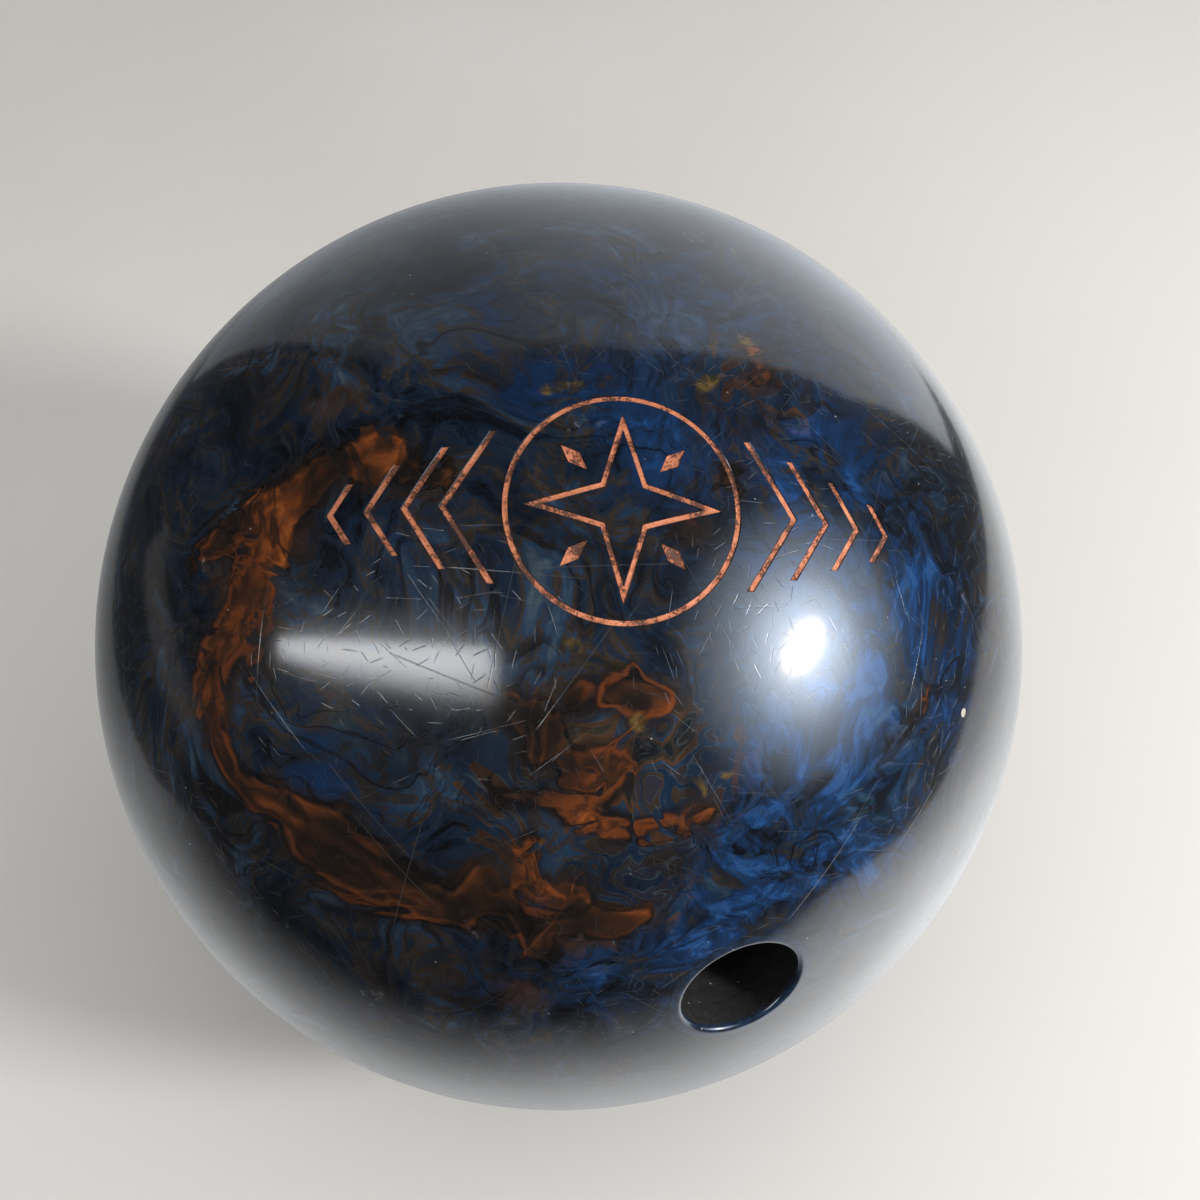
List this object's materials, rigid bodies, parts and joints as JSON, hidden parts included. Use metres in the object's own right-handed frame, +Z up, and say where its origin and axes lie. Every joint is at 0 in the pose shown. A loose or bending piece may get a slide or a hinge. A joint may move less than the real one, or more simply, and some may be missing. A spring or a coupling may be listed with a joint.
{
  "type": "bowling ball",
  "caption": "Ten-pin bowling ball drilled for a thumb and fingers: glossy marbled resin shell over a filler core and a weight block, with a thumb slug, finger grips and a locator pin.",
  "frame": {"origin": "centre of the ball", "axes": "+Z up; the thumb hole is low at the front (-Y), the finger holes are on the +X side, and the engraved emblem is at the top, towards the front"},
  "size_m": [0.217, 0.217, 0.217],
  "materials": {
    "coverstock": "polished marbled pearl resin, near-black navy with cobalt, teal, copper and olive-gold swirls",
    "outer_core": "cast filler resin, off-white, matte",
    "weight_block": "dense cast resin, ochre, satin",
    "locator_pin": "polished orange resin rod",
    "cg_marker": "pale filled punch mark",
    "thumb_slug": "black cast urethane, satin at the mouth, reamed matte inside",
    "adhesive": "hardened bonding resin",
    "grip": "moulded soft vinyl, matte",
    "emblem_paint": "copper-brown infill paint, worn"
  },
  "bodies": {
    "root": {"coverstock": "coverstock", "outer_core": "outer_core", "weight_block": "weight_block", "locator_pin": "locator_pin", "cg_marker": "cg_marker", "thumb_slug": "thumb_slug", "thumb_slug_adhesive": "adhesive", "ring_finger_grip": "grip", "middle_finger_grip": "grip", "ring_grip_adhesive": "adhesive", "middle_grip_adhesive": "adhesive", "emblem_paint": "emblem_paint"}
  },
  "joints": []
}
